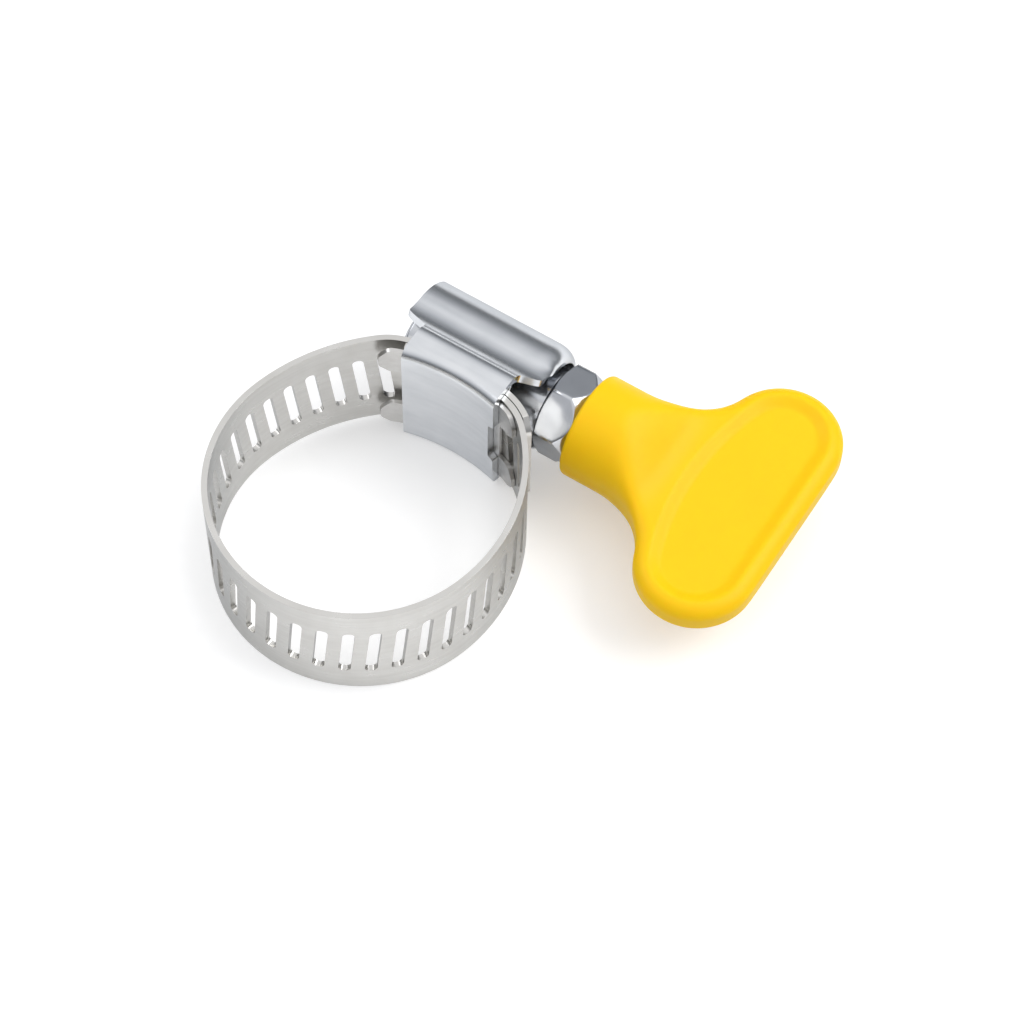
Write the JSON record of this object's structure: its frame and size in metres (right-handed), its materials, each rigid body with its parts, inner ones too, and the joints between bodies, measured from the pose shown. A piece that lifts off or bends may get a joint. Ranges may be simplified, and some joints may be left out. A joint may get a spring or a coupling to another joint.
{
  "type": "worm drive hose clamp with thumb key",
  "caption": "Round slotted steel band in a stamped worm-screw housing, tightened round a hose by hand with a butterfly-shaped plastic thumb key.",
  "frame": {"origin": "on the axis of the hose bore, at the middle of the band's width", "axes": "+Z along the hose bore, +Y from the bore to the screw housing, +X along the screw towards the thumb key"},
  "size_m": [0.0481, 0.0472, 0.0142],
  "materials": {
    "band_steel": "rolled, satin",
    "housing_steel": "polished",
    "saddle_steel": "rolled, satin",
    "screw_steel": "polished",
    "key_plastic": "satin"
  },
  "bodies": {
    "clamp": {"band": "band_steel", "housing": "housing_steel", "saddle": "saddle_steel"},
    "screw": {"worm_screw": "screw_steel", "thumb_key": "key_plastic"}
  },
  "joints": [
    {"name": "screw_turn", "type": "hinge", "parent": "clamp", "child": "screw", "pos_m": [0, 0.01963, 0], "axis": [1, 0, 0], "continuous": true, "deforming": ["band"]}
  ]
}
